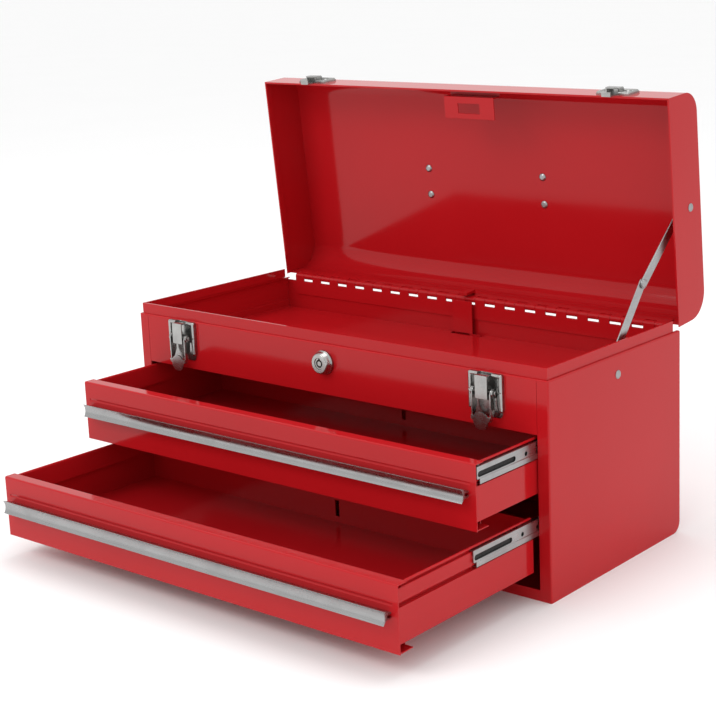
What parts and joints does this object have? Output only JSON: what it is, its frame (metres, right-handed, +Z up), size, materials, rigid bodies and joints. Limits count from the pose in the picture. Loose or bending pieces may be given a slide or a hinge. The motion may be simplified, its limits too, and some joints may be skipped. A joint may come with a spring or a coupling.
{
  "type": "tool chest",
  "caption": "Portable steel tool chest with hinged lid, open top till, drawers on telescopic slides, draw latches, key lock and carry handle.",
  "frame": {"origin": "centre of the case base, on the surface it stands on", "axes": "+X to the right along the width, +Y to the back, drawers open towards -Y, +Z up"},
  "size_m": [0.5126, 0.4675, 0.4272],
  "materials": {
    "red_powder_coat": "gloss",
    "nickel_plate": "polished",
    "zinc_steel": "satin",
    "aluminium_pull": "satin",
    "black_grip": "matte"
  },
  "bodies": {
    "case": {"case_wrapper": "red_powder_coat", "left_side_panel": "red_powder_coat", "right_side_panel": "red_powder_coat", "front_fascia": "red_powder_coat", "till_pan": "red_powder_coat", "left_slide_brackets": "red_powder_coat", "right_slide_brackets": "red_powder_coat", "hinge_case_leaf": "red_powder_coat", "hinge_pin": "zinc_steel", "latch_plates": "nickel_plate", "latch_rivets": "nickel_plate", "latch_lever_pins": "nickel_plate", "lock_housing": "nickel_plate", "lock_nut": "zinc_steel", "stay_case_rivet": "zinc_steel", "lock_bar_guides": "zinc_steel", "lock_bar_spring": "zinc_steel", "upper_left_case_rail": "zinc_steel", "upper_right_case_rail": "zinc_steel", "lower_left_case_rail": "zinc_steel", "lower_right_case_rail": "zinc_steel"},
    "lid": {"lid_shell": "red_powder_coat", "lid_left_end": "red_powder_coat", "lid_right_end": "red_powder_coat", "hinge_lid_leaf": "red_powder_coat", "lid_lock_strike": "red_powder_coat", "lid_keepers": "nickel_plate", "lock_bar_pusher": "red_powder_coat", "handle_brackets": "nickel_plate", "handle_rivets": "zinc_steel", "stay_lid_rivet": "zinc_steel"},
    "carry_handle": {"carry_handle_wire": "nickel_plate", "carry_handle_grip": "black_grip"},
    "stay_lower": {"stay_lower_link": "zinc_steel"},
    "stay_upper": {"stay_upper_link": "zinc_steel"},
    "left_lever": {"left_latch_lever": "nickel_plate"},
    "left_claw": {"left_latch_claw": "nickel_plate"},
    "right_lever": {"right_latch_lever": "nickel_plate"},
    "right_claw": {"right_latch_claw": "nickel_plate"},
    "lock_barrel": {"lock_plug": "nickel_plate", "lock_cam": "zinc_steel"},
    "lock_bar": {"drawer_lock_bar": "red_powder_coat"},
    "upper_slides": {"upper_left_slide": "zinc_steel", "upper_right_slide": "zinc_steel"},
    "upper_drawer": {"upper_drawer_tray": "red_powder_coat", "upper_drawer_front": "red_powder_coat", "upper_drawer_pull": "aluminium_pull", "upper_left_drawer_rail": "red_powder_coat", "upper_right_drawer_rail": "red_powder_coat"},
    "lower_slides": {"lower_left_slide": "zinc_steel", "lower_right_slide": "zinc_steel"},
    "lower_drawer": {"lower_drawer_tray": "red_powder_coat", "lower_drawer_front": "red_powder_coat", "lower_drawer_pull": "aluminium_pull", "lower_left_drawer_rail": "red_powder_coat", "lower_right_drawer_rail": "red_powder_coat"}
  },
  "joints": [
    {"name": "lid_hinge", "type": "hinge", "parent": "case", "child": "lid", "pos_m": [0, 0.1092, 0.2019], "axis": [1, 0, 0], "range_deg": [0, 85]},
    {"name": "stay_lower_pivot", "type": "hinge", "parent": "case", "child": "stay_lower", "pos_m": [0.245, 0, 0.1812], "axis": [1, 0, 0], "range_deg": [-0.5, 115.69]},
    {"name": "stay_upper_pivot", "type": "hinge", "parent": "lid", "child": "stay_upper", "pos_m": [0.2466, 0.12729, 0.3141], "axis": [1, 0, 0], "range_deg": [-110.81, 0.5]},
    {"name": "carry_handle_swing", "type": "hinge", "parent": "lid", "child": "carry_handle", "pos_m": [0, 0.15358, 0.3154], "axis": [1, 0, 0], "range_deg": [0, 180]},
    {"name": "left_lever_swing", "type": "hinge", "parent": "case", "child": "left_lever", "pos_m": [-0.191, -0.1132, 0.1825], "axis": [-1, 0, 0], "range_deg": [0, 80]},
    {"name": "left_claw_swing", "type": "hinge", "parent": "left_lever", "child": "left_claw", "pos_m": [-0.191, -0.1132, 0.1779], "axis": [1, 0, 0], "range_deg": [-0.5, 80.5]},
    {"name": "right_lever_swing", "type": "hinge", "parent": "case", "child": "right_lever", "pos_m": [0.191, -0.1132, 0.1825], "axis": [-1, 0, 0], "range_deg": [0, 80]},
    {"name": "right_claw_swing", "type": "hinge", "parent": "right_lever", "child": "right_claw", "pos_m": [0.191, -0.1132, 0.1779], "axis": [1, 0, 0], "range_deg": [-0.5, 80.5]},
    {"name": "key_lock_turn", "type": "hinge", "parent": "case", "child": "lock_barrel", "pos_m": [0, -0.108, 0.1816], "axis": [0, -1, 0], "range_deg": [0, 50]},
    {"name": "drawer_lock_slide", "type": "slide", "parent": "case", "child": "lock_bar", "axis": [0, 0, 1], "range_m": [-0.0062, 0.0002], "deforming": ["lock_bar_spring"]},
    {"name": "upper_slide_travel", "type": "slide", "parent": "case", "child": "upper_slides", "axis": [0, 1, 0], "range_m": [-0.0075, 0.086]},
    {"name": "upper_drawer_travel", "type": "slide", "parent": "upper_slides", "child": "upper_drawer", "axis": [0, 1, 0], "range_m": [-0.0935, 0]},
    {"name": "lower_slide_travel", "type": "slide", "parent": "case", "child": "lower_slides", "axis": [0, 1, 0], "range_m": [0, 0.0935]},
    {"name": "lower_drawer_travel", "type": "slide", "parent": "lower_slides", "child": "lower_drawer", "axis": [0, 1, 0], "range_m": [0, 0.0935]}
  ],
  "couplings": [
    {"joint": "stay_lower_pivot", "follows": "lid_hinge", "ratio": 1.3552},
    {"joint": "stay_upper_pivot", "follows": "lid_hinge", "ratio": -1.2977},
    {"joint": "left_claw_swing", "follows": "left_lever_swing", "ratio": 1},
    {"joint": "right_claw_swing", "follows": "right_lever_swing", "ratio": 1},
    {"joint": "drawer_lock_slide", "follows": "lid_hinge", "m_per_rad": -0.0040444}
  ]
}
